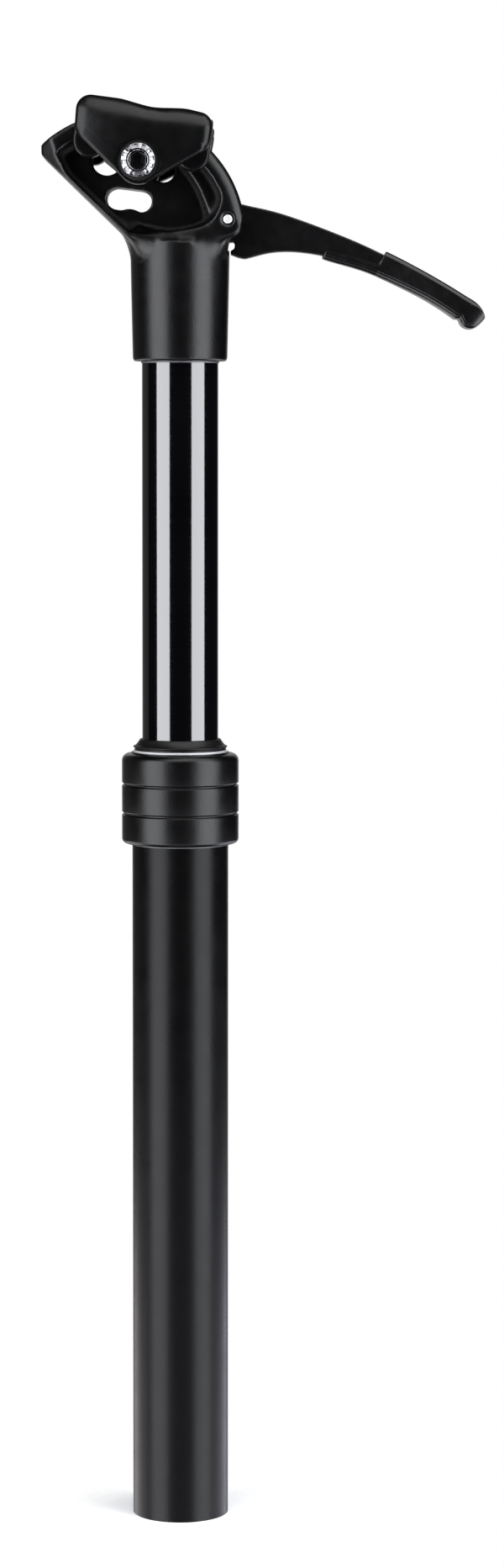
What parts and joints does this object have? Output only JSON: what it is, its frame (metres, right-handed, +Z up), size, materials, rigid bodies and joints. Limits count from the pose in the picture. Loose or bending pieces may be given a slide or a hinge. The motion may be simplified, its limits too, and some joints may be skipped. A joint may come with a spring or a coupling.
{
  "type": "dropper seatpost",
  "caption": "Height-adjustable bicycle seatpost: a stanchion sliding in a round outer tube, worked by a lever under the saddle, with a one-bolt rail clamp.",
  "frame": {"origin": "centre of the outer tube's open bottom end, on the tube's axis", "axes": "+Z up the tube's axis towards the saddle, +X towards the bicycle's front, +Y towards its left"},
  "size_m": [0.1435, 0.0629, 0.4657],
  "materials": {
    "tube_black": "bead-blasted satin black anodised",
    "head_black": "bead-blasted satin black anodised",
    "stanchion_black": "polished gloss black hard-anodised",
    "clamp_black": "soft satin black, forged",
    "lever_black": "satin black anodised",
    "grip_black": "moulded matt black",
    "seal_rubber": "matt black",
    "bumper_rubber": "matt dark grey",
    "ring_steel": "bright turned",
    "plain_steel": "plain",
    "pin_steel": "ground bright",
    "rod_chrome": "ground and polished",
    "bolt_steel": "zinc-plated bright",
    "washer_black": "black oxide",
    "bushing_plastic": "low-friction bearing plastic",
    "key_brass": "plain",
    "bare_aluminium": "clear anodised"
  },
  "bodies": {
    "frame_side": {"outer_tube": "tube_black", "collar": "tube_black", "collar_seal_ring": "seal_rubber", "wiper_ring": "ring_steel", "wiper_seal": "seal_rubber", "upper_bushing": "bushing_plastic", "top_out_ring": "bumper_rubber", "base_cap": "bare_aluminium", "base_circlip": "plain_steel", "bottom_bumper": "bumper_rubber", "piston_rod": "rod_chrome", "rod_nut": "plain_steel", "piston_nut": "plain_steel", "main_piston": "bare_aluminium", "piston_seal": "seal_rubber"},
    "post": {"stanchion": "stanchion_black", "head": "head_black", "lower_bushing": "bushing_plastic", "rotation_keys": "key_brass", "end_plug": "bare_aluminium", "cartridge_tube": "bare_aluminium", "bore_tube": "bare_aluminium", "rod_guide": "bare_aluminium", "rod_seal": "seal_rubber", "valve_body": "bare_aluminium", "valve_seal_ring": "seal_rubber", "valve_seat": "key_brass", "valve_spring": "plain_steel", "lever_pin": "pin_steel"},
    "valve_pin": {"valve_pin": "plain_steel"},
    "floating_piston": {"floating_piston": "bare_aluminium", "floating_piston_rings": "seal_rubber"},
    "lever": {"lever": "lever_black", "lever_grip": "grip_black", "lever_bushing": "bushing_plastic"},
    "saddle_clamps": {"inner_clamp_left": "clamp_black", "inner_clamp_right": "clamp_black"},
    "right_clamp": {"outer_clamp_right": "clamp_black", "clamp_washer": "washer_black", "clamp_bolt": "bolt_steel"},
    "left_clamp": {"outer_clamp_left": "clamp_black", "clamp_nut": "washer_black"}
  },
  "joints": [
    {"name": "post_travel", "type": "slide", "parent": "frame_side", "child": "post", "axis": [0, 0, 1], "range_m": [-0.122, 0], "stiffness_N_per_m": 400, "springref_m": 0.15},
    {"name": "lever_pivot", "type": "hinge", "parent": "post", "child": "lever", "pos_m": [0.0156, 0, 0.427], "axis": [0, -1, 0], "range_deg": [0, 12], "stiffness_Nm_per_rad": 0.25, "springref_deg": -20.05},
    {"name": "valve_pin_press", "type": "slide", "parent": "post", "child": "valve_pin", "axis": [0, 0, -1], "range_m": [0, 0.0033], "deforming": ["valve_spring"]},
    {"name": "floating_piston_slide", "type": "slide", "parent": "post", "child": "floating_piston", "axis": [0, 0, 1], "range_m": [-0.0407, 0]},
    {"name": "saddle_tilt", "type": "hinge", "parent": "post", "child": "saddle_clamps", "pos_m": [-0.0128, 0, 0.4445], "axis": [0, 1, 0], "range_deg": [-10, 10]},
    {"name": "right_clamp_open", "type": "slide", "parent": "saddle_clamps", "child": "right_clamp", "axis": [0, -1, 0], "range_m": [0, 0.0055]},
    {"name": "left_clamp_open", "type": "slide", "parent": "saddle_clamps", "child": "left_clamp", "axis": [0, 1, 0], "range_m": [0, 0.0055]}
  ],
  "couplings": [
    {"joint": "valve_pin_press", "follows": "lever_pivot", "m_per_rad": 0.0153},
    {"joint": "floating_piston_slide", "follows": "post_travel", "ratio": 0.33333}
  ]
}
